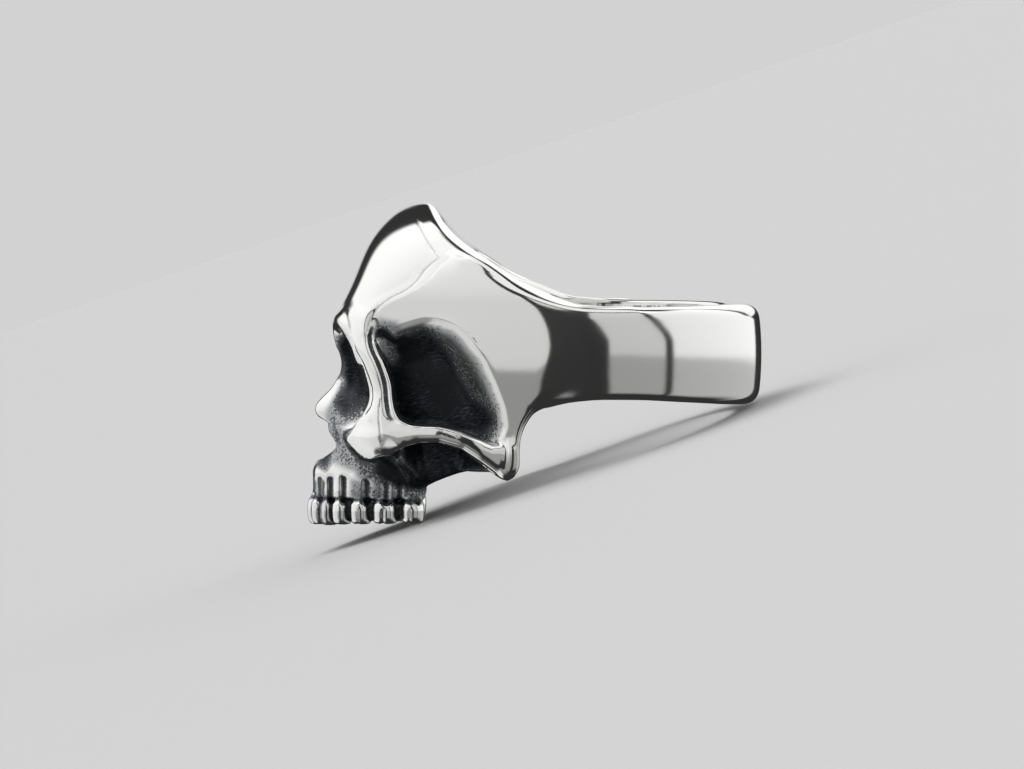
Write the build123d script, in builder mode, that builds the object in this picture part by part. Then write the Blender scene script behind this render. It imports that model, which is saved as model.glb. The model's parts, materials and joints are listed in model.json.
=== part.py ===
from build123d import *

import os
from collections import namedtuple
from math import atan2, cos, degrees, radians, sin

os.makedirs("parts", exist_ok=True)

# The ring is drawn about the finger: z runs along the finger towards the crown,
# the face looks to -x and the y plane is the mirror plane of the skull.
bore_radius = 10.0
band_thickness_back = 2.45
band_thickness_side = 2.2
band_bevel = 0.75
band_edge = 0.45
band_crown = 0.30
arch_length = 8.7
arch_half_width = 5.3
arch_centre = -14.5
gum_level = -11.3
tooth_length = 2.1
cheek_radius = 1.78
collar_cover = 0.07
collar_round = 1.1
cheek_spread = 8.0


def at(share):
    """A length of the skull: all its tables hold shares of the finger hole's radius."""
    return share * bore_radius


# Skull: plan of the head at each height, from the root of the band round to the face.
Plan = namedtuple("Plan", "z root shoulder temple corner_x corner_y front")
ROOT_X, SHOULDER_X, TEMPLE_X = -0.20, -0.8, -1.3
HEAD = [
    Plan(-0.99, 1.170, 1.03, 0.90, -1.80, 0.66, -2.02),
    Plan(-0.40, 1.212, 1.085, 0.94, -1.85, 0.73, -2.07),
    Plan(0.00, 1.228, 1.105, 0.96, -1.85, 0.735, -2.05),
    Plan(0.34, 1.218, 1.09, 0.94, -1.84, 0.71, -2.02),
    Plan(0.65, 1.185, 1.03, 0.86, -1.76, 0.60, -1.91),
    Plan(0.92, 1.09, 0.91, 0.71, -1.60, 0.47, -1.76),
    Plan(1.12, 0.90, 0.71, 0.49, -1.45, 0.32, -1.59),
    Plan(1.23, 0.62, 0.45, 0.26, -1.36, 0.16, -1.42),
]

# Forehead: its plan, a little prouder than the temples, from the brow to the crown.
FOREHEAD = [
    Plan(-0.14, 1.228, 1.11, 0.96, -1.80, 0.68, -2.03),
    Plan(0.06, 1.235, 1.125, 0.98, -1.89, 0.74, -2.10),
    Plan(0.26, 1.232, 1.13, 0.98, -1.92, 0.745, -2.12),
    Plan(0.47, 1.222, 1.11, 0.95, -1.86, 0.70, -2.03),
    Plan(0.72, 1.185, 1.03, 0.86, -1.765, 0.595, -1.92),
    Plan(0.98, 1.08, 0.88, 0.68, -1.61, 0.46, -1.785),
    Plan(1.14, 0.87, 0.67, 0.47, -1.45, 0.32, -1.63),
    Plan(1.24, 0.60, 0.43, 0.25, -1.36, 0.16, -1.46),
]

# Side outline of the skull: over the collar to the crown, down the face, back under.
COLLAR = [
    (-0.02, 0.42), (-0.34, 0.485), (-0.49, 0.55), (-0.675, 0.625), (-0.87, 0.76),
    (-1.07, 0.895), (-1.22, 1.045), (-1.30, 1.17), (-1.36, 1.21),
]
BROW = [
    (-1.36, 1.21), (-1.57, 1.175), (-1.785, 0.98), (-1.92, 0.72), (-2.02, 0.47),
    (-2.085, 0.34), (-2.115, 0.21), (-2.10, 0.09), (-2.06, -0.04),
]
UNDERSIDE = [
    (-2.08, -0.34), (-1.98, -0.60), (-1.62, -0.78), (-1.42, -1.06), (-1.33, -1.00),
    (-1.26, -0.965), (-1.08, -0.90), (-0.86, -0.89), (-0.75, -0.925),
]
JAW_ANGLE = [
    (-0.75, -0.925), (-0.665, -0.88), (-0.645, -0.70), (-0.61, -0.51), (-0.51, -0.375),
    (-0.30, -0.31), (-0.02, -0.29),
]

# Temporal line: below it the temples lie a little deeper than the forehead.
TEMPORAL_LINE = [
    (-1.84, 0.10), (-1.80, 0.28), (-1.72, 0.42), (-1.60, 0.52), (-1.48, 0.58),
    (-1.36, 0.70), (-1.25, 0.78), (-1.13, 0.755), (-0.98, 0.705), (-0.78, 0.585),
    (-0.58, 0.495), (-0.41, 0.435), (-0.20, 0.40),
]

# Temporal pocket behind the eye: its mouth outside and its floor beside the core.
Pocket = namedtuple("Pocket", "y low_x waist_x waist_z nose_x nose_z top_x top_z lip_x lip_z rear_x rear_z")
POCKET = [
    Pocket(0.50, -1.60, -1.53, -0.32, -1.51, -0.05, -1.36, 0.08, -1.16, -0.10, -1.09, -0.50),
    Pocket(0.70, -1.90, -1.61, -0.30, -1.63, 0.00, -1.44, 0.20, -1.12, 0.04, -0.97, -0.45),
    Pocket(0.90, -2.02, -1.75, -0.24, -1.84, 0.10, -1.50, 0.30, -1.03, 0.13, -0.84, -0.38),
    Pocket(1.20, -2.06, -1.82, -0.20, -1.93, 0.18, -1.52, 0.36, -0.95, 0.20, -0.77, -0.34),
]

# Eye socket: a rounded pit that narrows towards its back.
Socket = namedtuple("Socket", "x y z width height")
SOCKET = [
    Socket(-2.40, 0.52, -0.13, 0.74, 0.98),
    Socket(-1.86, 0.495, -0.13, 0.60, 0.80),
    Socket(-1.72, 0.42, -0.12, 0.44, 0.62),
    Socket(-1.58, 0.34, -0.11, 0.26, 0.40),
    Socket(-1.47, 0.29, -0.10, 0.13, 0.22),
]

# Outer rim of the socket, down from the brow to the cheekbone.
Rim = namedtuple("Rim", "z x y deep wide")
RIM = [
    Rim(0.46, -1.690, 0.660, 0.06, 0.08),
    Rim(0.24, -1.805, 0.765, 0.085, 0.11),
    Rim(0.02, -1.800, 0.820, 0.085, 0.10),
    Rim(-0.18, -1.760, 0.840, 0.085, 0.095),
    Rim(-0.32, -1.745, 0.845, 0.092, 0.095),
    Rim(-0.44, -1.755, 0.840, 0.130, 0.110),
    Rim(-0.56, -1.790, 0.820, 0.160, 0.135),
]

# Cheek arch, back from the cheekbone to its pointed root under the band.
Arch = namedtuple("Arch", "x y z thick high")
ARCH = [
    Arch(-1.80, 0.850, -0.600, 0.105, 0.165),
    Arch(-1.65, 0.910, -0.585, 0.105, 0.125),
    Arch(-1.50, 0.965, -0.565, 0.095, 0.085),
    Arch(-1.30, 1.005, -0.565, 0.085, 0.070),
    Arch(-1.10, 1.025, -0.635, 0.080, 0.070),
    Arch(-0.93, 1.015, -0.735, 0.080, 0.092),
    Arch(-0.81, 0.995, -0.790, 0.082, 0.135),
    Arch(-0.71, 0.970, -0.790, 0.085, 0.135),
]

# Bar below the eye, in from the cheekbone to the side of the nose.
Bar = namedtuple("Bar", "y x z deep high")
BAR = [
    Bar(0.82, -1.82, -0.62, 0.15, 0.15),
    Bar(0.62, -1.90, -0.60, 0.12, 0.12),
    Bar(0.43, -1.94, -0.57, 0.13, 0.14),
    Bar(0.25, -1.90, -0.56, 0.12, 0.14),
]

# Upper jaw: its plan from the nose down to the gum.
Jaw = namedtuple("Jaw", "z front half_width")
JAW = [
    Jaw(-0.34, -2.06, 0.40),
    Jaw(-0.55, -2.21, 0.45),
    Jaw(-0.67, -2.17, 0.46),
    Jaw(-0.76, -2.19, 0.47),
    Jaw(-0.85, -2.27, 0.48),
    Jaw(-1.02, -2.29, 0.49),
    Jaw(-1.12, -2.28, 0.475),
    Jaw(-1.18, -2.21, 0.44),
    Jaw(-1.28, -2.13, 0.39),
]

# Flanks of the nose: the jaw runs on up beside it and narrows to the bridge.
FLANK = [
    Jaw(-0.06, -2.01, 0.19),
    Jaw(-0.28, -2.08, 0.27),
    Jaw(-0.46, -2.17, 0.38),
]

# Bridge of the nose: a ridge that stands out to a point over the nose opening.
Ridge = namedtuple("Ridge", "z front base half_width")
RIDGE = [
    Ridge(0.06, -2.06, -1.88, 0.18),
    Ridge(-0.10, -2.065, -1.88, 0.17),
    Ridge(-0.24, -2.14, -1.90, 0.19),
    Ridge(-0.36, -2.25, -1.92, 0.23),
    Ridge(-0.43, -2.285, -1.94, 0.26),
    Ridge(-0.51, -2.24, -1.94, 0.28),
    Ridge(-0.60, -2.17, -1.94, 0.28),
]

# Nose opening: one half of its pear shape, from the top down.
NOSE = [(0.00, -0.50), (0.09, -0.55), (0.17, -0.64), (0.19, -0.75), (0.10, -0.83), (0.00, -0.80)]

# Teeth of one side, from the middle of the jaw: turn along the arch and width.
Tooth = namedtuple("Tooth", "turn width depth drop")
TEETH = [
    Tooth(7.0, 0.128, 0.150, 1.00),
    Tooth(19.0, 0.108, 0.150, 0.97),
    Tooth(30.8, 0.122, 0.165, 0.98),
    Tooth(43.2, 0.126, 0.180, 0.91),
    Tooth(57.0, 0.154, 0.200, 0.88),
    Tooth(71.9, 0.192, 0.220, 0.84),
    Tooth(87.5, 0.200, 0.220, 0.80),
]
# A tooth down its length: shares of its length, width and depth, and how far it stands in.
Station = namedtuple("Station", "down width depth inset")
CROWN = [
    Station(-0.80, 0.36, 0.40, 0.055),
    Station(-0.15, 0.62, 0.66, 0.030),
    Station(0.12, 0.88, 0.88, 0.006),
    Station(0.55, 1.0, 1.0, 0.000),
    Station(0.88, 0.95, 0.86, 0.004),
    Station(1.0, 0.74, 0.60, 0.010),
]


# Band: how far it has thinned, risen and dropped at each turn from the back of the finger.
Band = namedtuple("Band", "turn thin rise drop inset")
BAND = [
    Band(0, 0.00, 0.415, 0.390, 0.00),
    Band(25, 0.15, 0.415, 0.370, 0.00),
    Band(50, 0.55, 0.412, 0.338, 0.00),
    Band(75, 0.92, 0.410, 0.304, 0.00),
    Band(92, 1.00, 0.420, 0.300, 0.00),
    Band(104, 1.00, 0.448, 0.325, 0.00),
    Band(113, 1.00, 0.512, 0.372, 0.00),
    Band(124, 1.00, 0.570, 0.400, 0.60),
    Band(134, 1.00, 0.600, 0.400, 1.50),
]


def plan_sketch(level):
    """One closed plan of the head, on its own height."""
    half = [
        (at(ROOT_X), at(level.root)),
        (at(SHOULDER_X), at(level.shoulder)),
        (at(TEMPLE_X), at(level.temple)),
        (at(level.corner_x), at(level.corner_y)),
        (at(level.front), 0),
    ]
    return mirrored_sketch(half, at(level.z))


def mirrored_sketch(half, z):
    """A closed plan at height z, from one half of its outline."""
    points = half + [(x, -y) for x, y in reversed(half) if y != 0]
    with BuildSketch(Plane.XY.offset(z)) as plan:
        with BuildLine():
            Spline(*points)
            Line(points[-1], points[0])
        make_face()
    return plan.sketch


def jaw_sketch(row):
    """One closed plan of the upper jaw, squarer at the back than at the front."""
    half = [
        (at(-1.39), at(row.half_width) * 0.93),
        (at(-1.60), at(row.half_width)),
        (at(row.front) * 0.55 + at(-1.45) * 0.45, at(row.half_width) * 0.90),
        (at(row.front) * 0.92 + at(-1.45) * 0.08, at(row.half_width) * 0.50),
        (at(row.front), 0),
    ]
    return mirrored_sketch(half, at(row.z))


def spline_through(points):
    """A smooth run of line through points given as shares."""
    return Spline(*[(at(a), at(b)) for a, b in points])


with BuildPart() as head:
    loft([plan_sketch(level) for level in HEAD])
    with BuildSketch(Plane.XZ):
        with BuildLine():
            spline_through([(x, z - collar_cover) for x, z in COLLAR])
            Line((at(COLLAR[-1][0]), at(COLLAR[-1][1] - collar_cover)), (at(BROW[0][0]), at(BROW[0][1])))
            spline_through(BROW)
            Polyline(*[(at(x), at(z)) for x, z in [BROW[-1], *UNDERSIDE]])
            spline_through(JAW_ANGLE)
            Line((at(JAW_ANGLE[-1][0]), at(JAW_ANGLE[-1][1])), (at(COLLAR[0][0]), at(COLLAR[0][1] - collar_cover)))
        make_face()
    extrude(amount=at(1.4), both=True, mode=Mode.INTERSECT)

# The forehead and the raised collar: all above the temporal line, a step prouder.
with BuildPart() as forehead:
    loft([plan_sketch(level) for level in FOREHEAD])
    with BuildSketch(Plane.XZ):
        with BuildLine():
            spline_through(COLLAR)
            spline_through(BROW)
            Line((at(BROW[-1][0]), at(BROW[-1][1])), (at(TEMPORAL_LINE[0][0]), at(TEMPORAL_LINE[0][1])))
            spline_through(TEMPORAL_LINE)
            Line((at(TEMPORAL_LINE[-1][0]), at(TEMPORAL_LINE[-1][1])), (at(COLLAR[0][0]), at(COLLAR[0][1])))
        make_face()
    extrude(amount=at(1.4), both=True, mode=Mode.INTERSECT)
    collar_edges = [
        edge
        for edge in forehead.edges()
        if edge.bounding_box().min.X > at(COLLAR[-1][0]) - 0.1
        and edge.bounding_box().max.Z > at(1.2)
        and abs(edge.center().Y) > at(0.1)
    ]
    fillet(collar_edges, collar_round)

with BuildPart() as pocket:
    for row in POCKET:
        with BuildSketch(Plane.XZ.offset(at(row.y))):
            with BuildLine():
                mouth = spline_through([
                    (row.low_x, -1.20), (row.waist_x, row.waist_z), (row.nose_x, row.nose_z),
                    (row.top_x, row.top_z), (row.lip_x, row.lip_z), (row.rear_x, row.rear_z),
                    (row.rear_x - 0.02, -1.20),
                ])
                Line(mouth @ 1, mouth @ 0)
            make_face()
    loft()
    mirror(about=Plane.XZ)

with BuildPart() as socket:
    for row in SOCKET:
        with BuildSketch(Plane.YZ.offset(at(row.x))):
            with Locations((at(row.y), at(row.z))):
                RectangleRounded(at(row.width), at(row.height), at(row.width) * 0.42)
    loft()
    mirror(about=Plane.XZ)

with BuildPart() as nose:
    with BuildSketch(Plane.YZ.offset(at(-2.45))):
        with BuildLine():
            edge = spline_through(NOSE)
            Spline(*[(at(-y), at(z)) for y, z in NOSE])
        make_face()
    extrude(amount=at(0.52))

with BuildPart() as rims:
    for row in RIM:
        with BuildSketch(Plane.XY.offset(at(row.z))):
            with Locations((at(row.x), at(row.y))):
                Ellipse(at(row.deep), at(row.wide))
    loft()
    with Locations((at(-1.82), cheek_spread, at(-0.61))):
        Sphere(cheek_radius)

with BuildPart() as arches:
    for row in ARCH:
        with BuildSketch(Plane.YZ.offset(at(row.x))):
            with Locations((at(row.y), at(row.z))):
                Ellipse(at(row.thick), at(row.high))
    loft()

with BuildPart() as bars:
    for row in BAR:
        with BuildSketch(Plane.XZ.offset(-at(row.y))):
            with Locations((at(row.x), at(row.z))):
                Ellipse(at(row.deep), at(row.high))
    loft()

with BuildPart() as jaw:
    loft([jaw_sketch(row) for row in JAW])

with BuildPart() as flank:
    loft([jaw_sketch(row) for row in FLANK], ruled=True)

with BuildPart() as ridge:
    sections = []
    for row in RIDGE:
        half = [
            (at(row.base), at(row.half_width)),
            (at(row.front) * 0.55 + at(row.base) * 0.45, at(row.half_width) * 0.62),
            (at(row.front), 0),
        ]
        sections.append(mirrored_sketch(half, at(row.z)))
    loft(sections)


def tooth(row, hand):
    """One tooth, lofted from its root down to its biting edge."""
    turn = radians(row.turn)
    x = arch_centre - arch_length * cos(turn)
    y = hand * arch_half_width * sin(turn)
    outward = degrees(atan2(hand * arch_length * sin(turn), -arch_half_width * cos(turn)))
    with BuildPart() as crown:
        for station in CROWN:
            z = gum_level - station.down * tooth_length * row.drop
            frame = Plane(origin=(x, y, z), x_dir=(cos(radians(outward)), sin(radians(outward)), 0))
            with BuildSketch(frame):
                with Locations((-at(row.depth) * 0.45 - at(station.inset), 0)):
                    deep = at(row.depth) * station.depth
                    wide = at(row.width) * station.width
                    RectangleRounded(deep, wide, min(deep, wide) * 0.38)
        loft()
    return crown.part


with BuildPart() as band:
    rows = [(-row.turn, row) for row in reversed(BAND[1:])] + [(row.turn, row) for row in BAND]
    for turn, row in rows:
        thickness = band_thickness_back + (band_thickness_side - band_thickness_back) * row.thin
        rise, drop = at(row.rise), at(row.drop)
        outer = bore_radius + thickness - row.inset
        inner = bore_radius - band_bevel
        c, s = cos(radians(turn)), sin(radians(turn))
        frame = Plane(origin=(0, 0, 0), x_dir=(c, s, 0), z_dir=(s, -c, 0))
        with BuildSketch(frame):
            with BuildLine():
                Polyline((outer - band_edge, -drop), (inner, -drop), (inner, rise), (outer - band_bevel, rise))
                ThreePointArc(
                    (outer - band_bevel, rise),
                    (outer - band_bevel * 0.29, rise - band_bevel * 0.29),
                    (outer, rise - band_bevel),
                )
                ThreePointArc(
                    (outer, rise - band_bevel),
                    (outer + band_crown, (rise - drop) / 2),
                    (outer, band_edge - drop),
                )
                ThreePointArc(
                    (outer, band_edge - drop),
                    (outer - band_edge * 0.29, band_edge * 0.29 - drop),
                    (outer - band_edge, -drop),
                )
            make_face()
    loft()

with BuildPart() as ring:
    add(head.part)
    add(pocket.part, mode=Mode.SUBTRACT)
    add(forehead.part)
    add(jaw.part)
    add(flank.part)
    add(ridge.part)
    for piece in (rims, arches, bars):
        add(piece.part)
        add(piece.part.mirror(Plane.XZ))
    add(socket.part, mode=Mode.SUBTRACT)
    add(nose.part, mode=Mode.SUBTRACT)
    for row in TEETH:
        for hand in (1, -1):
            add(tooth(row, hand))
    add(band.part)
    Cylinder(bore_radius, at(4), mode=Mode.SUBTRACT)


def lowest(shape, tilt):
    """The lowest height of a shape once the ring is tilted about the y axis."""
    return shape.rotate(Axis.Y, tilt).bounding_box().min.Z


# Left alone on a table the ring lies on its last teeth and the back of its band.
with BuildPart() as rear_teeth:
    for hand in (1, -1):
        for row in TEETH[-2:]:
            add(tooth(row, hand))
low_tilt, high_tilt = 5.0, 35.0
while high_tilt - low_tilt > 0.001:
    rest_tilt = (low_tilt + high_tilt) / 2
    if lowest(rear_teeth.part, rest_tilt) < lowest(band.part, rest_tilt):
        low_tilt = rest_tilt
    else:
        high_tilt = rest_tilt

with BuildPart() as skull_ring:
    add(ring.part.rotate(Axis.Y, rest_tilt))

skull_ring.part.label = "skull_ring"
export_step(skull_ring.part, "parts/skull_ring.step")
print("rest tilt", round(rest_tilt, 3), "floor", round(lowest(ring.part, rest_tilt), 4))
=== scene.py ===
# %% [markdown]
# # Skull ring
# A heavy silver ring, cast in one piece: a skull without its jaw runs on into a plain polished
# band. A goldsmith carves such a ring in wax, casts it, blackens it and polishes the proud places
# bright again. This script follows the same steps. The imported solid is the rough wax. It is
# softened and carved, cast as one mesh, and left black where a polishing wheel doesn't reach, with
# painted shade in its gaps and creases and a painted highlight in the eye.

# %% Load the frame
import json
import math
import time
from collections import namedtuple

import bpy
import numpy as np
import openvdb
from mathutils import Matrix, Vector


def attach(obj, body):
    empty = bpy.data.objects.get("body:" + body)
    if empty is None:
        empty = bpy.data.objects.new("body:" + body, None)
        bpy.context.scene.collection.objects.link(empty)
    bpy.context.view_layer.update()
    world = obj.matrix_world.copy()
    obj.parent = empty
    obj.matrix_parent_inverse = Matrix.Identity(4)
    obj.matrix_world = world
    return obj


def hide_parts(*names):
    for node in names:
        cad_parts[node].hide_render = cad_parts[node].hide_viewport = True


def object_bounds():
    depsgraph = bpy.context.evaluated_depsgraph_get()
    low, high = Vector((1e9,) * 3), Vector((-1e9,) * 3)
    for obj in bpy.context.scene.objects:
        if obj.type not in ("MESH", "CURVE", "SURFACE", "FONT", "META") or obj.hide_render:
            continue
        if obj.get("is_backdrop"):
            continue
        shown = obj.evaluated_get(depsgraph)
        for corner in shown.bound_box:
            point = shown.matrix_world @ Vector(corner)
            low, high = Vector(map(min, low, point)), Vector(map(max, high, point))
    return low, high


started = time.time()
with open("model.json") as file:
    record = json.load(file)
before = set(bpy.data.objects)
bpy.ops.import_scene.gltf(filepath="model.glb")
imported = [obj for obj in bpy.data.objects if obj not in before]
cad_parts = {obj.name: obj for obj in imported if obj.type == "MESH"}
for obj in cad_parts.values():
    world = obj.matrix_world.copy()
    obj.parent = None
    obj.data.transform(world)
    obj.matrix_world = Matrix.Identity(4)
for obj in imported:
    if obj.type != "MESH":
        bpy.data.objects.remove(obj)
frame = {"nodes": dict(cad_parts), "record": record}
cad_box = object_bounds()
scene = bpy.context.scene
MM = 0.001


def told(text):
    """Print what a step made, with the time so far."""
    print(f"{time.time() - started:6.1f} s  {text}")


told(f"CAD box in mm: {[[round(c / MM, 2) for c in corner] for corner in cad_box]}")

# %% [markdown]
# ## The finger frame
# The ring rests on its side, on its last teeth and the back of its band, so the finger hole leans.
# All carving is easier in the frame of the finger, where z runs along the finger, the face looks
# to -x and the skull's mirror plane is y = 0. The lean is read from the axis of the mount.

# %% Read the lean of the finger hole
finger_axis = frame["record"]["mounts"][0]["axis"]
lean = math.atan2(finger_axis[0], finger_axis[2])
TO_REST = np.array([
    [math.cos(lean), 0, math.sin(lean)],
    [0, 1, 0],
    [-math.sin(lean), 0, math.cos(lean)],
])
told(f"the finger hole leans {math.degrees(lean):.3f} degrees")

# %% [markdown]
# ## Rough wax
# A mesh is awkward to soften and carve, because every cut needs new faces. A distance field isn't:
# it is a block of small cells, each of which knows how far it is from the surface, less than zero
# inside. Blurring the field rounds edges, the lower of two fields joins two shapes, and adding a
# little to it takes a little off the surface. The skull is the same left and right, so the block
# holds only the half with y below zero, and a narrow strip past the mirror plane for blurring.

# %% The block of cells
CELL = 0.10
BLOCK_LOW = np.array([-24.4, -13.4, -14.4])
BLOCK_HIGH = np.array([13.7, 1.0, 13.3])
REACH = 9
FAR = REACH * CELL
FIRST_CELL = np.round(BLOCK_LOW / CELL).astype(int)
CELL_COUNT = np.round((BLOCK_HIGH - BLOCK_LOW) / CELL).astype(int)
MIDDLE = -FIRST_CELL[1]


def axis_cells(axis):
    """The places of the cells along one axis, shaped so that they spread over the block."""
    line = (FIRST_CELL[axis] + np.arange(CELL_COUNT[axis])) * CELL
    return line.astype(np.float32).reshape([-1 if axis == a else 1 for a in range(3)])


X, Y, Z = (axis_cells(axis) for axis in range(3))


def mirrored(field):
    """Fill the strip past the mirror plane from the carved half."""
    strip = field.shape[1] - MIDDLE - 1
    field[:, MIDDLE + 1:] = field[:, MIDDLE - strip:MIDDLE][:, ::-1]
    return field


def field_of(points, triangles):
    """The distance field of a closed mesh in mm, on the cells of the block."""
    grid = openvdb.FloatGrid.createLevelSetFromPolygons(
        points.astype(np.float32),
        triangles=triangles.astype(np.uint32),
        transform=openvdb.createLinearTransform(CELL),
        halfWidth=REACH,
    )
    block = np.zeros(CELL_COUNT, np.float32)
    grid.copyToArray(block, ijk=tuple(int(i) for i in FIRST_CELL))
    return block


def triangles_of(mesh):
    """The points and the triangles of a mesh as arrays."""
    points = np.empty(len(mesh.vertices) * 3, np.float32)
    mesh.vertices.foreach_get("co", points)
    mesh.calc_loop_triangles()
    triangles = np.empty(len(mesh.loop_triangles) * 3, np.int32)
    mesh.loop_triangles.foreach_get("vertices", triangles)
    return points.reshape(-1, 3), triangles.reshape(-1, 3)


node_points, node_triangles = triangles_of(frame["nodes"]["skull_ring"].data)
wax = field_of(node_points / MM @ TO_REST, node_triangles)
told(f"rough wax of {wax.shape} cells")

# %% [markdown]
# ## Softening
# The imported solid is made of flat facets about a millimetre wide, which a mirror finish would show
# as ripples. A wide blur removes them, but would also melt the teeth and the edges. So a cell takes
# the wide blur only where it hardly moves the surface, which is on the broad polished places.


# %% Soften the wax
def step(low, high, value):
    """A smooth rise from 0 at low to 1 at high, or a fall where low is the larger."""
    share = np.clip((value - low) / (high - low), 0, 1)
    return share * share * (3 - 2 * share)


def softened(field, width):
    """The field blurred by a bell of that width in mm."""
    far = int(math.ceil(2.4 * width / CELL))
    bell = np.exp(-0.5 * (np.arange(far + 1) * CELL / width) ** 2)
    bell = (bell / (bell[0] + 2 * bell[1:].sum())).astype(np.float32)
    for axis in range(3):
        old = np.moveaxis(field, axis, 0)
        new = old * bell[0]
        for k in range(1, far + 1):
            new[k:] += bell[k] * old[:-k]
            new[:-k] += bell[k] * old[k:]
            new[:k] += bell[k] * old[:1]
            new[-k:] += bell[k] * old[-1:]
        field = np.moveaxis(new, 0, axis)
    return mirrored(np.ascontiguousarray(field))


FINE, MEDIUM, BROAD = 0.14, 0.30, 0.55
fine = softened(wax, FINE)
medium = softened(fine, MEDIUM)
broad = softened(medium, BROAD)
moved = np.abs(broad - medium)
wax = medium + (broad - medium) * step(0.14, 0.05, moved)
lower_jaw_edge = step(-10.0, -10.8, Z)
wax = wax + (fine - wax) * lower_jaw_edge
told("softened")

# %% [markdown]
# ## The band
# The band is turned and polished, so its reflections run in clean lines. It follows a rule: at
# each turn from the back of the finger it has a thickness, a rise and a drop, and its outside is
# a little crowned. Its field, worked out from that rule, takes the place of the rough wax behind
# the shoulder of the skull.

# %% Work out the field of the band
BORE = 10.0
Band = namedtuple("Band", "turn thickness rise drop")
BAND = [
    Band(0, 2.42, 4.12, 3.90),
    Band(25, 2.41, 4.15, 3.70),
    Band(50, 2.31, 4.12, 3.38),
    Band(75, 2.22, 4.10, 3.04),
    Band(92, 2.20, 4.20, 3.00),
    Band(104, 2.20, 4.48, 3.25),
    Band(113, 2.20, 5.12, 3.72),
    Band(124, 2.20, 5.70, 4.00),
]
CROWN, EDGE, BACK_EDGE, BORE_EDGE = 0.30, 0.70, 1.30, 0.35


def along_band(turns, column):
    """One column of the band's table at any turn, with the corners between its rows rounded."""
    every = np.arange(-12.0, 132.0)
    known = [getattr(row, column) for row in BAND]
    values = np.interp(np.abs(every), [row.turn for row in BAND], known)
    window = np.hanning(17) / np.hanning(17).sum()
    values = np.convolve(np.pad(values, 8, mode="edge"), window, mode="valid")
    return np.interp(turns, every, values).astype(np.float32)


def blended_low(a, b, blend):
    """The lower of two fields, with a fillet where they meet: it joins two shapes."""
    share = np.clip(0.5 + 0.5 * (b - a) / blend, 0, 1)
    return b + (a - b) * share - blend * share * (1 - share)


def blended_high(a, b, blend):
    """The higher of two fields, with a rounded edge where they meet: it keeps what both hold."""
    return -blended_low(-a, -b, blend)


radius = np.sqrt(X * X + Y * Y)
turn = np.degrees(np.arctan2(np.abs(Y), X))
thickness, rise, drop = (along_band(turn, column) for column in ("thickness", "rise", "drop"))
half_height = (rise + drop) / 2
height = (Z - (rise - drop) / 2) / half_height
outside = radius - BORE - thickness - CROWN * (1 - np.clip(height, -1, 1) ** 2)
top_and_bottom = half_height * (np.abs(height) - 1)
band = blended_high(outside, top_and_bottom, EDGE + (BACK_EDGE - EDGE) * step(60, 20, turn))
band = blended_high(band, BORE - radius, BORE_EDGE)
further_forward_below = 1.8 * step(-0.6, -1.6, Z)
on_band = step(-3.4, -0.6, X + further_forward_below)
wax += (np.clip(band, -FAR, FAR) - wax) * on_band
mirrored(wax)
told("band turned")

# %% [markdown]
# ## Carving tools
# A tool is a run of round rods, each thicker or thinner along its way. Laid on, it adds wax, and
# the blend says how large a fillet it leaves. A line is finer: it is drawn on the side of the
# skull and raises or lowers the surface under it by a few hundredths of a mm.

# %% Rods and lines
Rod = namedtuple("Rod", "x y z r")


def window_of(points, reach):
    """The part of the block that holds these points, as slices."""
    points = np.array(points)
    low = np.floor((points.min(0) - reach) / CELL).astype(int) - FIRST_CELL
    high = np.ceil((points.max(0) + reach) / CELL).astype(int) - FIRST_CELL + 1
    return tuple(slice(max(a, 0), min(b, c)) for a, b, c in zip(low, high, CELL_COUNT))


def away_from(line, *spot):
    """How far places are from a run of corners, less their radius where the corners have one."""
    nearest = None
    for a, b in zip(line, line[1:]):
        run = [q - p for p, q in zip(a, b)]
        off = [s - p for s, p in zip(spot, a)]
        share = sum(o * r for o, r in zip(off, run)) / sum(r * r for o, r in zip(off, run))
        share = np.clip(share, 0, 1)
        away = np.sqrt(sum((o - share * r) ** 2 for o, r in zip(off, run)))
        for radius_here, growth in zip(a[len(spot):], run[len(spot):]):
            away = away - (radius_here + growth * share)
        nearest = away if nearest is None else np.minimum(nearest, away)
    return nearest


def lay_on(rows, blend):
    """Add a run of rods to the wax."""
    part = window_of([row[:3] for row in rows], max(row.r for row in rows) + FAR)
    field = away_from(rows, X[part[0]], Y[:, part[1]], Z[:, :, part[2]])
    wax[part] = blended_low(wax[part], np.clip(field, -FAR, FAR), blend)


def curved(corners, pieces=6):
    """A smooth line through corners, by the rule of Catmull and Rom."""
    corners = np.array(corners, float)
    before, after = 2 * corners[0] - corners[1], 2 * corners[-1] - corners[-2]
    ends = np.vstack([before, corners, after])
    line = []
    for a, b, c, d in zip(ends, ends[1:], ends[2:], ends[3:]):
        for t in np.arange(pieces) / pieces:
            bend = (2 * a - 5 * b + 4 * c - d) * t**2 + (3 * b - a - 3 * c + d) * t**3
            line.append(tuple(0.5 * (2 * b + (c - a) * t + bend)))
    return line + [tuple(corners[-1])]


def draw(line, depth, width, outside_of=5.0, fade=0.6, taper=0.0):
    """Sink a line into the side of the skull, or raise it where depth is below zero."""
    outermost = [(x, BLOCK_LOW[1], z) for x, z in line]
    part = window_of(outermost + [(line[0][0], -outside_of, line[0][1])], 3 * width)
    x, y, z = X[part[0]], Y[:, part[1]], Z[:, :, part[2]]
    deep = depth * np.exp(-((away_from(line, x, z) / width) ** 2))
    if taper:
        for end_x, end_z in (line[0], line[-1]):
            deep = deep * step(0, taper, np.hypot(x - end_x, z - end_z))
    wax[part] += (deep * step(-outside_of + fade, -outside_of - fade, y)).astype(np.float32)


told("tools ready")

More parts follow.
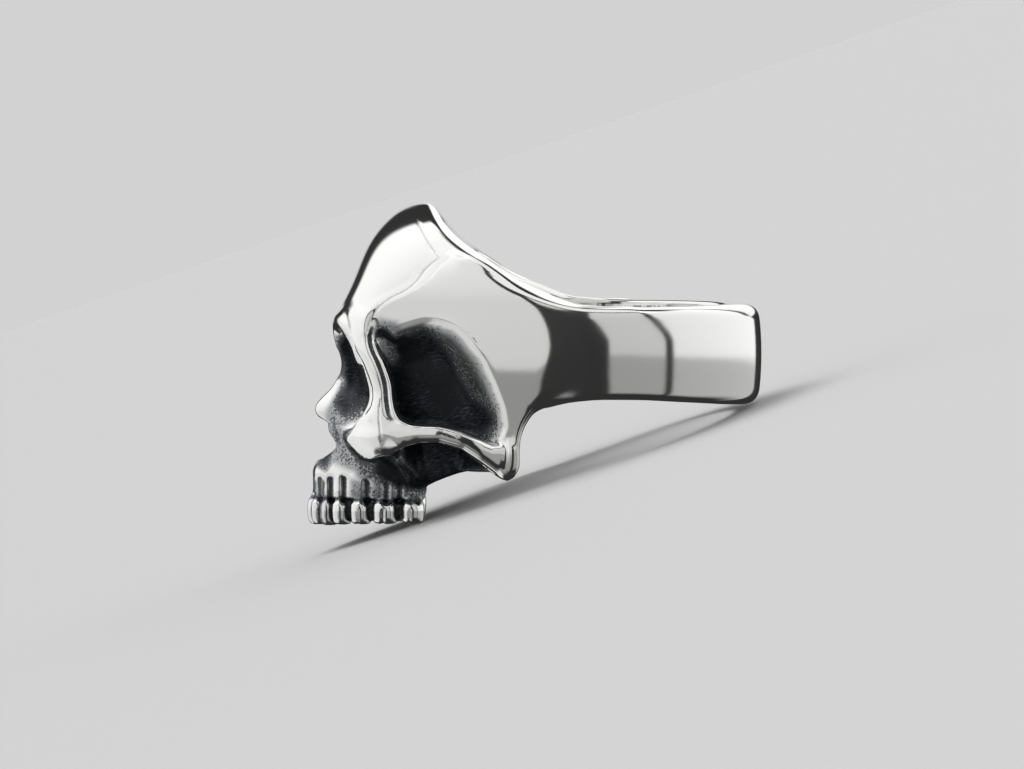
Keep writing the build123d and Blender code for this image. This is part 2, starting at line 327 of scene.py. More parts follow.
# %% [markdown]
# ## The side as a relief
# Seen from the side, temple, pocket and band are a shallow relief, drawn like a map with one
# height for each x and z. The temple is a smooth sheet that follows one line in plan and another
# in height, which gives it a single even reflection. The pocket behind the eye is a bowl sunk
# into that sheet, steep under its lip and flat on its floor.

# %% Heights of the temple
PLAN_FRONT = [(-22, 6.6), (-18, 8.1), (-15, 9.02), (-13, 9.68), (-11, 10.31), (-9, 10.88),
              (-7, 11.38), (3, 13.82)]
BAND_OUTSIDE, LEAVES_BAND = 12.50, -1.59
FRONT_RAISED = [(-4, 0.12), (-1.5, 0.09), (0, 0.03), (1.05, 0.0), (2.56, 0.025), (4, 0.11),
                (4.9, 0.23), (12, 0.23)]
ROUNDING = [(-11, 1.05), (-9, 0.9), (-7, 0.74), (-5, 0.55), (-4, 0.44), (-3, 0.3), (-2, 0.156),
            (-1, 0.059), (0, 0.008), (0.6, 0.0), (1.2, 0.008), (2, 0.045), (3, 0.133), (3.6, 0.21),
            (4.2, 0.3), (5, 0.44), (5.7, 0.66), (6.5, 0.97), (7.2, 1.28), (8, 1.66), (9.5, 2.4),
            (11, 3.3)]


def rounded_line(line, at, softness):
    """A run of straight pieces read at some places, with its corners rounded off."""
    fine_places = np.arange(line[0][0], line[-1][0], 0.1)
    values = np.interp(fine_places, *zip(*line))
    pad = int(softness / 0.1)
    window = np.hanning(2 * pad + 3)[1:-1]
    window = window / window.sum()
    first, last = values[1] - values[0], values[-1] - values[-2]
    lead = values[0] - first * np.arange(pad, 0, -1)
    trail = values[-1] + last * np.arange(1, pad + 1)
    values = np.convolve(np.concatenate([lead, values, trail]), window, mode="valid")
    return np.interp(at, fine_places, values).astype(np.float32)


side_x, side_z = X[:, 0, :], Z[0, :, :]
temple_front = rounded_line(PLAN_FRONT, side_x, 0.9) + rounded_line(FRONT_RAISED, side_z, 0.9)

# %% [markdown]
# Towards the back the temple lies on the circle of the band, and where the bone leaves the band
# its plan goes on as the tangent of that circle.

# %% Join temple and band
on_circle = np.clip(side_x, LEAVES_BAND, 6.0)
circle = np.sqrt(BAND_OUTSIDE**2 - on_circle**2)
temple_back = circle + (on_circle - side_x) * on_circle / circle
temple_height = blended_low(temple_front, temple_back, 0.06)
temple_height = temple_height - rounded_line(ROUNDING, side_z, 0.9)
told(f"the temple stands out {temple_height.max():.2f} mm at most")

# %% [markdown]
# An outline on the side says where a form holds. Its edge is softened, so that one form passes
# into the next without a step that a mirror finish would show.


# %% Outlines on the side
def inside(outline, x, z):
    """Which places of the side view lie inside a closed outline."""
    held = np.zeros(np.broadcast(x, z).shape, bool)
    for (ax, az), (bx, bz) in zip(outline, outline[1:] + outline[:1]):
        if az != bz:
            crosses = (z < az) != (z < bz)
            held ^= crosses & (x < ax + (z - az) * (bx - ax) / (bz - az))
    return held


def soft_inside(outline, x, z, softness):
    """1 well inside a closed outline, 0 well outside and half on the line."""
    away = away_from(outline + outline[:1], x, z)
    return step(-softness, softness, np.where(inside(outline, x, z), away, -away))


TEMPLE = [
    (-13.5, 7.2), (-12.9, 7.9), (-12.0, 8.3), (-10.9, 7.9), (-9.8, 7.4), (-8.6, 6.9), (-7.0, 6.3),
    (-5.2, 5.6), (-3.4, 5.1), (-1.4, 4.8), (2.0, 4.8), (2.6, 3.5), (2.6, -1.7), (-0.9, -1.8),
    (-2.6, -2.3), (-4.4, -2.8), (-5.6, -3.6), (-6.4, -5.0), (-7.0, -6.4), (-8.4, -6.0),
    (-12.0, -3.0), (-16.5, 0.0), (-18.0, 1.5), (-18.5, 2.8), (-17.9, 4.0), (-16.9, 4.7),
    (-15.9, 5.2), (-14.8, 5.9), (-14.0, 6.6),
]
POCKET_LIP = [
    (-18.0, 1.2), (-17.7, 2.2), (-17.1, 2.7), (-16.2, 2.6), (-15.2, 2.95), (-14.05, 3.3),
    (-13.2, 3.3), (-12.3, 3.05), (-11.4, 2.75), (-10.6, 2.05), (-9.75, 1.05), (-9.05, 0.2),
    (-8.2, -1.6), (-7.45, -3.6), (-7.2, -5.2), (-7.7, -6.4),
]
POCKET = POCKET_LIP + [(-10.0, -7.4), (-14.0, -6.6), (-17.4, -5.0), (-17.6, -2.0)]
told(f"temple drawn with {len(TEMPLE)} corners, pocket with {len(POCKET)}")


# %% Sink the pocket into the temple
def eased(sheet, width):
    """A relief with its creases rounded off."""
    window = np.hanning(2 * int(width / CELL) + 3)[1:-1]
    window = window / window.sum()
    pad = len(window) // 2
    for axis in range(2):
        sheet = np.moveaxis(sheet, axis, 1)
        rows = [np.convolve(np.pad(row, pad, mode="edge"), window, mode="valid") for row in sheet]
        sheet = np.moveaxis(np.array(rows), 1, axis)
    return sheet.astype(np.float32)


POCKET_DEPTH, POCKET_SLOPE = 2.3, 3.3
bowl = step(0.0, POCKET_SLOPE, away_from(POCKET_LIP, side_x, side_z))
bowl = eased(bowl * inside(POCKET, side_x, side_z), 0.4)
pocket_height = temple_height - POCKET_DEPTH * bowl


def relief(height):
    """The distance field of a relief that stands out from the mirror plane."""
    along_x, along_z = np.gradient(height, CELL)
    steepness = np.sqrt(1 + along_x**2 + along_z**2)
    return np.clip((-Y - height[:, None]) / steepness[:, None], -FAR, FAR)


told(f"the pocket is {POCKET_DEPTH} mm deep")

# %% [markdown]
# Above the temple the skull ends in a collar, whose top edge climbs from the band to the crown.
# The relief is cut off along that edge, which is given as a height at each turn round the
# finger. Then it takes the place of the rough wax inside its outline.

# %% Lay the relief over the rough wax
COLLAR_EDGE = [(86, 4.2), (92, 4.2), (99, 4.28), (106, 4.52), (114, 5.08), (122, 5.87),
               (130, 6.95), (137, 8.4), (146, 10.1)]
COLLAR_STEEPNESS, COLLAR_ROUNDING = 0.85, 0.8
over_collar = (Z - rounded_line(COLLAR_EDGE, turn, 9)) * COLLAR_STEEPNESS
pocket = blended_high(relief(pocket_height), np.clip(over_collar, -FAR, FAR), COLLAR_ROUNDING)
in_pocket = soft_inside(POCKET, side_x, side_z, 0.35) * step(-18.3, -17.7, side_x)
filled = in_pocket[:, None] * step(-5.3, -5.8, Y)
wax += (pocket - wax) * filled
near_surface = step(1.7, 1.1, temple_height[:, None] + Y)
on_temple = soft_inside(TEMPLE, side_x, side_z, 0.55)[:, None] * near_surface
wax += (pocket - wax) * on_temple
mirrored(wax)
told("temple and pocket laid on")

# %% [markdown]
# ## Brows
# From the front a skull looks out from under two arched brows. The photo shows only their outer
# ends, so the rest is an ordinary brow: a soft roll of wax over each eye.

# %% Lay on the brows
BROW = [
    Rod(-20.35, -1.0, 1.0, 0.45),
    Rod(-20.50, -1.9, 2.1, 0.55),
    Rod(-20.50, -3.3, 2.75, 0.62),
    Rod(-20.20, -4.8, 2.75, 0.62),
    Rod(-19.70, -6.2, 2.2, 0.58),
    Rod(-19.20, -7.3, 1.2, 0.50),
    Rod(-19.00, -7.9, 0.0, 0.40),
]
BROW = [Rod(*station) for station in curved(BROW, 4)]
lay_on(BROW, 0.6)
mirrored(wax)
told("brows laid on")

# %% [markdown]
# ## Rim of the eye, cheekbone and arch
# One strong bar comes down from the brow beside the eye, swells into the cheekbone and runs back
# as an arch to a point under the band. It is sawn out of a plate: an outline as the side view
# shows it, a face that bends along a suture line, and a back that leaves the arch free. Before it
# is laid on, the rough wax round it is cut back, so that nothing of the older shape shows.

# %% Draw the bar
BAR = [
    (-19.68, 2.32), (-19.52, 1.38), (-19.21, 0.6), (-18.65, -0.34), (-18.25, -1.37),
    (-17.97, -2.24), (-17.94, -2.95), (-18.1, -3.64), (-18.65, -4.4), (-19.45, -5.0),
    (-20.02, -5.6), (-20.1, -6.15), (-19.86, -6.65), (-19.32, -7.2), (-18.65, -7.68),
    (-17.78, -7.88), (-16.83, -7.64), (-15.95, -7.1), (-15.16, -6.7), (-14.13, -6.45),
    (-12.78, -6.42), (-10.95, -6.95), (-9.44, -7.96), (-8.29, -8.84), (-7.41, -9.36),
    (-6.95, -9.1), (-6.7, -8.2), (-6.75, -7.2), (-7.46, -6.4), (-8.44, -6.47),
    (-9.76, -5.9), (-10.95, -5.43), (-12.14, -5.12), (-12.78, -4.99), (-14.13, -4.95),
    (-15.1, -4.82), (-15.75, -4.4), (-16.05, -3.75), (-16.2, -2.95), (-16.28, -2.0),
    (-16.48, -1.1), (-16.92, -0.12), (-17.42, 0.7), (-17.72, 1.6), (-17.75, 2.4),
    (-17.85, 3.1), (-18.4, 3.8), (-19.2, 4.0), (-19.7, 3.4),
]
SUTURE = [(-9, -17.3), (-6, -17.35), (-4.7, -17.46), (-3, -17.3), (-2, -17.46), (-0.85, -18.1),
          (0.6, -18.45), (4.5, -18.5)]
FACE_OUT = [(-9, 9.4), (-7.3, 9.62), (-6, 9.72), (-4.7, 9.55), (-3, 9.42), (-2, 9.36),
            (-0.85, 9.22), (0.6, 8.95), (2.3, 8.4), (3.3, 7.88), (4.5, 7.0)]
BEND = [(-4, -5.4), (-3, -3.3), (-2.4, -2.15), (-1.6, -1.1), (-0.8, -0.44), (0.0, 0.0),
        (1.0, 0.28), (2.35, 0.62), (4.35, 1.04), (6.35, 1.34), (7.85, 1.38), (9.35, 1.18),
        (10.35, 0.85), (14, -1.0)]
from_suture = np.clip(side_x - rounded_line(SUTURE, side_z, 0.8), -3.9, 13.8)
CHEEK_SWELL = 0.12
bar_out = CHEEK_SWELL * step(-4.2, -5.6, side_z) + rounded_line(FACE_OUT, side_z, 0.8)
bar_out = bar_out + rounded_line(BEND, from_suture, 0.25)
outline_away = away_from(BAR + BAR[:1], side_x, side_z)
outline_away = np.where(inside(BAR, side_x, side_z), -outline_away, outline_away)
outline_away = outline_away.astype(np.float32)
told(f"bar drawn with {len(BAR)} corners")

# %% Saw it out and lay it on
cheek = step(-4.2, -5.4, side_z) * step(-15.6, -17.4, side_x)
roundness = 0.9 + 1.4 * cheek
thick = 1.6 + 1.0 * step(-14.0, -16.5, side_x)
bar = blended_high(relief(bar_out), outline_away[:, None], roundness[:, None])
bar = blended_high(bar, (bar_out - thick)[:, None] + Y, 0.5)
CLEARED = 0.9
near_bar = step(1.2, 0.6, outline_away) * step(2.2, 0.8, side_z) * step(-7.8, -8.6, side_x)
wax += (np.maximum(wax, relief(bar_out - CLEARED)) - wax) * near_bar[:, None]
into_brow = 0.3 + 0.3 * step(1.0, 3.0, side_z)
wax = blended_low(wax, np.clip(bar, -FAR, FAR), into_brow[:, None])
mirrored(wax)
told("bar laid on")

# %% [markdown]
# ## Bone lines
# Fine lines tell the bones apart: the temporal line round the temple, the coronal seam up the
# forehead, the lip of the pocket, the groove and bead along the rim, the crease of the cheekbone.
# Each one is a smooth curve through a few corners and fades out at its ends.

# %% Draw the bone lines
TEMPORAL_LINE = curved([
    (-18.45, 1.4), (-18.35, 2.3), (-18.0, 3.3), (-17.3, 4.2), (-16.4, 4.85), (-15.4, 5.35),
    (-14.5, 6.1), (-13.9, 6.9), (-13.3, 7.5), (-12.8, 7.85),
])
CORONAL_LINE = curved([(-14.5, 10.9), (-14.2, 10.1), (-13.7, 9.2), (-12.9, 8.1)])
LIP_LINE = curved([
    (-14.2, 3.35), (-12.7, 3.25), (-11.4, 2.75), (-10.4, 1.9), (-9.7, 1.0), (-9.0, 0.2),
])
EYE_GROOVE = curved([
    (-17.95, 2.45), (-18.1, 1.9), (-18.1, 1.3), (-17.9, 0.6), (-17.5, -0.25), (-17.15, -1.2),
    (-16.95, -2.1), (-16.85, -3.2), (-16.7, -4.1), (-16.4, -4.65),
])
EYE_BEAD = curved([
    (-17.65, 0.5), (-17.2, -0.15), (-16.85, -1.05), (-16.55, -1.95), (-16.45, -3.0), (-16.25, -4.0),
    (-15.9, -4.6), (-15.1, -5.02), (-14.1, -5.15), (-12.8, -5.2), (-11.6, -5.5), (-10.5, -5.95),
    (-9.5, -6.35),
])
CHEEK_CREASE = curved([
    (-17.3, -3.0), (-17.45, -4.2), (-17.38, -5.2), (-17.28, -6.2), (-17.25, -6.9),
])
draw(TEMPORAL_LINE, 0.045, 0.12, taper=1.0)
draw(CORONAL_LINE, 0.035, 0.10, outside_of=3.4, fade=0.8, taper=0.8)
draw(LIP_LINE, -0.05, 0.16, taper=1.8)
draw(EYE_GROOVE, 0.22, 0.17, taper=0.7)
draw(EYE_BEAD, -0.12, 0.20, taper=0.8)
draw(CHEEK_CREASE, 0.035, 0.09, taper=1.6)
mirrored(wax)
told("lines drawn")

# %% [markdown]
# ## Teeth
# Fourteen teeth follow the arch of the jaw, each turned outwards and sized by its place. That is a
# rule, so Geometry Nodes set them: a point for each tooth carries its turn, width, depth and
# length, the tree works out where it stands and puts a crown there.

# %% One crown to set many times
Station = namedtuple("Station", "down deep wide back")
CROWN_SHAPE = [
    Station(-0.55, 0.40, 0.40, 0.20),
    Station(-0.50, 0.56, 0.54, 0.17),
    Station(-0.15, 0.70, 0.70, 0.10),
    Station(0.02, 0.84, 0.86, 0.04),
    Station(0.14, 0.95, 0.97, 0.00),
    Station(0.40, 1.00, 1.02, 0.00),
    Station(0.70, 0.99, 1.00, 0.01),
    Station(0.88, 0.90, 0.93, 0.03),
    Station(0.97, 0.70, 0.80, 0.05),
    Station(1.00, 0.40, 0.50, 0.06),
]
ROUND, SQUARENESS, SET_BACK = 28, 2.3, 0.40


def crown_mesh():
    """A closed crown one unit deep, wide and long, biting edge down, its outside to +x."""
    verts, faces = [], []
    for row in CROWN_SHAPE:
        for k in range(ROUND):
            c, s = math.cos(2 * math.pi * k / ROUND), math.sin(2 * math.pi * k / ROUND)
            reach = 0.5 / (abs(c) ** SQUARENESS + abs(s) ** SQUARENESS) ** (1 / SQUARENESS)
            back = row.back + SET_BACK
            verts.append((c * reach * row.deep - back, s * reach * row.wide, -row.down))
    for low in range(0, (len(CROWN_SHAPE) - 1) * ROUND, ROUND):
        for k in range(ROUND):
            a, b = low + k, low + (k + 1) % ROUND
            faces.append((a, b, b + ROUND, a + ROUND))
    faces.append(tuple(range(ROUND)))
    faces.append(tuple(reversed(range(len(verts) - ROUND, len(verts)))))
    made = bpy.data.meshes.new("crown")
    made.from_pydata(verts, [], faces)
    return made


crown = bpy.data.objects.new("crown", crown_mesh())
scene.collection.objects.link(crown)
told(f"crown of {len(crown.data.polygons)} faces")

# %% [markdown]
# Two small classes make node trees readable: one adds nodes, the other lets a socket take part
# in a sum. The material and the studio use them too.


# %% A tree of nodes, written as calls
class Tree:
    """Adds nodes to a node tree. Settings come first, and i2=... feeds the socket numbered 2."""

    def __init__(self, tree):
        self.tree = tree

    def node(self, kind, settings=None, **sockets):
        made = self.tree.nodes.new(kind)
        for name, value in (settings or {}).items():
            setattr(made, name, value)
        for name, value in sockets.items():
            key = int(name[1:]) if name[1:].isdigit() else name.replace("_", " ")
            self.feed(made.inputs[key], value)
        return made

    def feed(self, socket, value):
        value = value.socket if isinstance(value, Wire) else value
        if isinstance(value, bpy.types.NodeSocket):
            self.tree.links.new(value, socket)
        else:
            socket.default_value = value


class Wire:
    """A socket that takes part in sums: each operator adds a Math node."""

    def __init__(self, tree, socket):
        self.tree, self.socket = tree, socket

    def math(self, operation, *others):
        sockets = {f"i{k}": v for k, v in enumerate((self, *others))}
        made = self.tree.node("ShaderNodeMath", {"operation": operation}, **sockets)
        return Wire(self.tree, made.outputs[0])

    def __add__(self, other):
        return self.math("ADD", other)

    def __sub__(self, other):
        return self.math("SUBTRACT", other)

    def __rsub__(self, other):
        return (self * -1) + other

    def __mul__(self, other):
        return self.math("MULTIPLY", other)

    __radd__, __rmul__ = __add__, __mul__

    def risen(self, low, high):
        """A smooth rise from 0 at low to 1 at high, or a fall where low is the larger."""
        made = self.tree.node("ShaderNodeMapRange", {"interpolation_type": "SMOOTHSTEP"},
                              Value=self, From_Min=low, From_Max=high)
        return Wire(self.tree, made.outputs[0])


told("node trees can be written as sums")

# %% Sizes of the teeth
JAW_CENTRE, JAW_LENGTH, JAW_HALF_WIDTH = -14.5, 8.7, 5.3
GUM_LEVEL, TOOTH_LENGTH = -11.3, 2.1
Tooth = namedtuple("Tooth", "turn width depth drop")
TEETH = [
    Tooth(7.0, 1.20, 1.50, 1.00),
    Tooth(19.0, 1.12, 1.50, 0.97),
    Tooth(30.8, 1.22, 1.65, 0.98),
    Tooth(43.2, 1.36, 1.80, 0.93),
    Tooth(57.0, 1.56, 2.00, 0.90),
    Tooth(71.9, 1.98, 2.20, 0.87),
    Tooth(87.5, 1.80, 2.20, 0.84),
]
told(f"{2 * len(TEETH)} teeth on a jaw {JAW_LENGTH} mm deep and {2 * JAW_HALF_WIDTH} mm wide")

# %% The tree that sets the teeth
teeth_tree = bpy.data.node_groups.new("set_teeth", "GeometryNodeTree")
silver = bpy.data.materials.new("blackened silver")
INPUTS = {
    "Points": ("Geometry", None),
    "Crown": ("Object", crown),
    "Jaw Centre": ("Float", JAW_CENTRE),
    "Jaw Length": ("Float", JAW_LENGTH),
    "Jaw Half Width": ("Float", JAW_HALF_WIDTH),
    "Gum Level": ("Float", GUM_LEVEL),
    "Metal": ("Material", silver),
}
for name, (kind, value) in INPUTS.items():
    teeth_tree.interface.new_socket(name, in_out="INPUT", socket_type="NodeSocket" + kind)
teeth_tree.interface.new_socket("Teeth", in_out="OUTPUT", socket_type="NodeSocketGeometry")

build = Tree(teeth_tree)
given = build.node("NodeGroupInput").outputs


def carried(name):
    """A number that each point carries."""
    made = build.node("GeometryNodeInputNamedAttribute", {"data_type": "FLOAT"}, Name=name)
    return Wire(build, made.outputs["Attribute"])


tooth_turn, hand = carried("turn"), carried("hand")
forward, outward = tooth_turn.math("COSINE"), tooth_turn.math("SINE") * hand
jaw_length, jaw_half_width = Wire(build, given["Jaw Length"]), Wire(build, given["Jaw Half Width"])
to_front = Wire(build, given["Jaw Centre"]) - jaw_length * forward
place = build.node("ShaderNodeCombineXYZ", X=to_front, Y=jaw_half_width * outward,
                   Z=given["Gum Level"])
facing = (jaw_length * outward).math("ARCTAN2", jaw_half_width * forward * -1)
stood = build.node("GeometryNodeSetPosition", Geometry=given["Points"],
                   Position=place.outputs[0])
crown_of = build.node("GeometryNodeObjectInfo", Object=given["Crown"])
size = build.node("ShaderNodeCombineXYZ", X=carried("depth"), Y=carried("width"),
                  Z=carried("length"))
spin = build.node("ShaderNodeCombineXYZ", Z=facing)
set_on = build.node("GeometryNodeInstanceOnPoints", Points=stood.outputs[0],
                    Instance=crown_of.outputs["Geometry"], Rotation=spin.outputs[0],
                    Scale=size.outputs[0])
real = build.node("GeometryNodeRealizeInstances", Geometry=set_on.outputs[0])
finished = build.node("GeometryNodeSetMaterial", Geometry=real.outputs[0],
                      Material=given["Metal"])
build.node("NodeGroupOutput", Teeth=finished.outputs[0])
told(f"tree of {len(teeth_tree.nodes)} nodes")

# %% Set the teeth on the jaw
points_mesh = bpy.data.meshes.new("teeth")
rows = [(tooth, side) for tooth in TEETH for side in (1, -1)]
points_mesh.from_pydata([(0, 0, 0)] * len(rows), [], [])
CARRIED = {
    "turn": [math.radians(tooth.turn) for tooth, side in rows],
    "hand": [side for tooth, side in rows],
    "width": [tooth.width for tooth, side in rows],
    "depth": [tooth.depth for tooth, side in rows],
    "length": [TOOTH_LENGTH * tooth.drop for tooth, side in rows],
}
for name, values in CARRIED.items():
    points_mesh.attributes.new(name, "FLOAT", "POINT").data.foreach_set("value", values)
teeth = bpy.data.objects.new("teeth", points_mesh)
scene.collection.objects.link(teeth)
setter = teeth.modifiers.new("set_teeth", "NODES")
setter.node_group = teeth_tree
for item in teeth_tree.interface.items_tree:
    kind, value = INPUTS.get(item.name, (None, None))
    if value is not None:
        setter[item.identifier] = value


def as_made(thing):
    """The mesh that an object's modifiers make."""
    bpy.context.view_layer.update()
    depsgraph = bpy.context.evaluated_depsgraph_get()
    return bpy.data.meshes.new_from_object(thing.evaluated_get(depsgraph))


set_teeth = as_made(teeth)
told(f"{len(rows)} teeth of {len(set_teeth.polygons)} faces")
teeth_field = field_of(*triangles_of(set_teeth))
for spare in (teeth, crown):
    bpy.data.objects.remove(spare)

# %% [markdown]
# The solid has simpler teeth of its own. They are pared down to a thin ridge along the jaw, which
# holds the new teeth from behind. Short grooves above the gum show where the roots lie, and the
# molars have a faint furrow.

# %% Join the teeth to the jaw
below_gum = step(GUM_LEVEL + 0.25, GUM_LEVEL - 0.15, Z)
PARED = 0.35
wax += (np.maximum(wax, PARED) - wax) * below_gum
RIDGE_BEHIND, RIDGE_BELOW, RIDGE_RADIUS = 1.05, 0.45, 0.62
JAW_RIDGE = [
    Rod(JAW_CENTRE - (JAW_LENGTH - RIDGE_BEHIND) * math.cos(math.radians(a)),
        -(JAW_HALF_WIDTH - RIDGE_BEHIND) * math.sin(math.radians(a)),
        GUM_LEVEL - RIDGE_BELOW, RIDGE_RADIUS)
    for a in (0, 15, 30, 45, 60, 75, 88)
]
for lower in (0.0, 0.55):
    lay_on([rod._replace(z=rod.z - lower) for rod in JAW_RIDGE], 0.2)
wax = blended_low(wax, teeth_field, 0.08)
mirrored(wax)
told("teeth joined")

# %% Draw roots and furrows
ROOT_TOPS = [(-22.25, -9.75), (-21.35, -9.65), (-20.3, -9.6), (-18.45, -9.9), (-16.95, -10.0),
             (-15.9, -10.2)]
ROOT_LINES = [[(x, top), (x - 0.02, GUM_LEVEL)] for x, top in ROOT_TOPS]
for line in ROOT_LINES:
    draw(line, 0.28, 0.24, outside_of=1.0, fade=0.8)
FURROWS = [(-19.15, 0.05), (-17.2, 0.1), (-15.1, 0.06)]
for x, deep in FURROWS:
    draw([(x, GUM_LEVEL - 0.7), (x, GUM_LEVEL - 2.0)], deep, 0.12, outside_of=2.0)
mirrored(wax)
told("roots drawn")

# %% [markdown]
# ## Casting
# The carved half is mirrored, and the surface where the field is zero becomes a mesh. The grid
# gives faces of one size, far more than the plain places need, so Decimate thins them. Each point
# is then moved back onto the surface and takes its normal from the slope of the field, which keeps
# the mirror finish free of the marks of single faces.


# %% Cast the wax
def whole(field):
    """Both halves of a field of the carved half."""
    half = field[:, :MIDDLE + 1]
    return np.concatenate([half, half[:, -2::-1]], axis=1)


cast_field = whole(wax)
grid = openvdb.FloatGrid(FAR)
grid.transform = openvdb.createLinearTransform(CELL)
grid.copyFromArray(cast_field, ijk=tuple(int(i) for i in FIRST_CELL), tolerance=1e-4)
points, triangles, quads = grid.convertToPolygons(0.0, 0.0)
rough = bpy.data.meshes.new("skull_ring_rough")
rough.vertices.add(len(points))
rough.vertices.foreach_set("co", points.astype(np.float32).ravel())
corners = np.concatenate([triangles.ravel(), quads.ravel()])
rough.loops.add(len(corners))
rough.loops.foreach_set("vertex_index", corners.astype(np.int32))
rough.polygons.add(len(triangles) + len(quads))
quads_from = 3 * len(triangles)
starts = np.concatenate([np.arange(len(triangles)) * 3, quads_from + np.arange(len(quads)) * 4])
rough.polygons.foreach_set("loop_start", starts.astype(np.int32))
rough.update(calc_edges=True)
rough.validate()
told(f"cast with {len(rough.polygons)} faces")

# %% Thin the mesh
MOST_TRIANGLES = 190000
ring = bpy.data.objects.new("skull_ring_cast", rough)
scene.collection.objects.link(ring)
thinner = ring.modifiers.new("thin", "DECIMATE")
thinner.ratio = MOST_TRIANGLES / (len(triangles) + 2 * len(quads))
ring.data = as_made(ring)
ring.modifiers.clear()
places, ring_triangles = triangles_of(ring.data)
places = places.astype(float)
told(f"thinned to {len(ring_triangles)} triangles")


# %% Back onto the surface
def between_cells(field, spot):
    """A field at spots that are counted in its own cells, read between the eight around each."""
    spot = np.clip(spot, 0, np.array(field.shape) - 1.001)
    cell = spot.astype(int)
    share = spot - cell
    value = 0
    for corner in np.ndindex(2, 2, 2):
        weight = np.prod(np.where(corner, share, 1 - share), axis=1)
        i, j, k = (cell + corner).T
        value = value + weight * field[i, j, k]
    return value


def read(field, places):
    """A field of the block at places in mm."""
    return between_cells(field, places / CELL - FIRST_CELL)


def slope(field, places, reach=CELL):
    """Which way the field rises, and how fast."""
    return np.stack([
        (read(field, places + side) - read(field, places - side)) / (2 * reach)
        for side in np.eye(3) * reach
    ], axis=1)


for _ in range(3):
    rises = slope(cast_field, places)
    steepness = np.maximum((rises**2).sum(1), 0.05)
    places -= (read(cast_field, places) / steepness)[:, None] * rises
normals = slope(cast_field, places, 0.12)
normals /= np.maximum(np.linalg.norm(normals, axis=1), 1e-6)[:, None]
told(f"surface error {np.abs(read(cast_field, places)).max():.4f} mm at most")

# %% [markdown]
# ## Where the silver stays black
# The black of the recesses is silver sulphide that the polishing wheel leaves behind. How deep a
# place lies is measured by how much metal there is around it: half a ball on a flat face, less on
# a ridge and more in a hollow. That share is found on coarse cells and kept on the mesh.

# %% Measure the hollows
COARSE, MARGIN = 4, 14


def metal_around(width):
    """The share of metal around each point of the mesh, in a bell of that width in mm."""
    solid = np.clip(0.5 - cast_field / (2 * COARSE * CELL), 0, 1)
    counts = [n // COARSE for n in solid.shape]
    nx, ny, nz = (n * COARSE for n in counts)
    solid = solid[:nx, :ny, :nz].reshape(counts[0], COARSE, counts[1], COARSE, counts[2], COARSE)
    solid = np.pad(solid.mean(axis=(1, 3, 5)), MARGIN)
    reach = int(math.ceil(2.4 * width / CELL / COARSE))
    bell = np.exp(-0.5 * (np.arange(-reach, reach + 1) * CELL * COARSE / width) ** 2)
    bell /= bell.sum()
    for axis in range(3):
        solid = np.apply_along_axis(np.convolve, axis, solid, bell, mode="same")
    middle_of_first = FIRST_CELL + (COARSE - 1) / 2
    return between_cells(solid, (places / CELL - middle_of_first) / COARSE + MARGIN)


near_metal, far_metal = metal_around(0.8), metal_around(2.0)
hollow = np.maximum(step(0.54, 0.68, near_metal), step(0.50, 0.60, far_metal))
below_blurred = -read(whole(softened(wax, 0.30)), places)
between_teeth = step(-0.03, 0.05, below_blurred)
groove = step(0.04, 0.10, below_blurred)
told(f"{(hollow > 0.5).mean():.0%} of the points lie in hollows")
told(f"{(groove > 0.5).mean():.0%} of the points lie in grooves")

# %% [markdown]
# The wheel reaches into some hollows and not into others, so the black of the side is drawn as
# well, with patches and fine lines. They can be held to some depths, because the side view looks
# through the whole skull.


# %% Brushes for the side
px, py, pz = places[:, 0], -np.abs(places[:, 1]), places[:, 2]
last_cell = CELL_COUNT - 1
side_row = np.clip(np.round(px / CELL - FIRST_CELL[0]).astype(int), 0, last_cell[0])
side_column = np.clip(np.round(pz / CELL - FIRST_CELL[2]).astype(int), 0, last_cell[2])


def patch(outline, softness, depths=None):
    """How far each point lies in a patch of the side, here only from one depth to another."""
    held = soft_inside(outline, px, pz, softness)
    return held if depths is None else held * step(*depths, py)


def pencil(line, width, depths):
    """A fine line over the points of the side."""
    return np.exp(-((away_from(line, px, pz) / width) ** 2)) * step(*depths, py)


def on_side(sheet):
    """A relief of the side, read at the points."""
    return sheet[side_row, side_column]


def told_black(what, share):
    """Print how much of the mesh a step blackens."""
    told(f"{what}: {(share > 0.5).mean():.1%} of the points")


below_temple = on_side(temple_height) + py
told(f"{(below_temple > 0.5).mean():.0%} of the points lie half a mm or more below the temple")

# %% [markdown]
# The floor of the pocket is black, with a worn patch by the rim where the wheel got in, and a
# thin haze lies on the slope above it. The space under the arch is black right through: oxide
# with painted shade.

# %% Black in the pocket, and oxide with painted shade under the arch
BLACK_FLOOR = [
    (-17.6, 1.9), (-16.9, 1.6), (-16.2, 1.4), (-15.2, 2.3), (-13.9, 2.85), (-12.6, 1.7),
    (-11.5, 0.45), (-10.95, -1.0), (-9.9, -2.8), (-9.05, -3.2), (-8.3, -4.1), (-8.2, -5.1),
    (-9.05, -6.0), (-12.0, -6.2), (-17.0, -5.6), (-17.4, -2.0), (-17.9, 0.2),
]
BLACK_CORNER = [(-17.95, 2.35), (-17.2, 2.6), (-16.6, 2.3), (-16.1, 1.75), (-15.2, 2.2),
                (-14.6, 1.2), (-16.2, 0.9), (-17.3, 1.5), (-17.9, 1.2)]
WORN_PATCH = [(-17.9, 1.4), (-17.0, 1.5), (-16.4, 0.9), (-16.0, 0.2), (-16.3, -0.4),
              (-16.8, -0.5), (-17.4, 0.3)]
UNDER_ARCH = [(-17.9, -7.6), (-15.5, -6.2), (-12.0, -6.3), (-9.0, -7.9), (-8.4, -10.5),
              (-13.5, -10.8), (-16.2, -10.3), (-18.2, -9.3)]
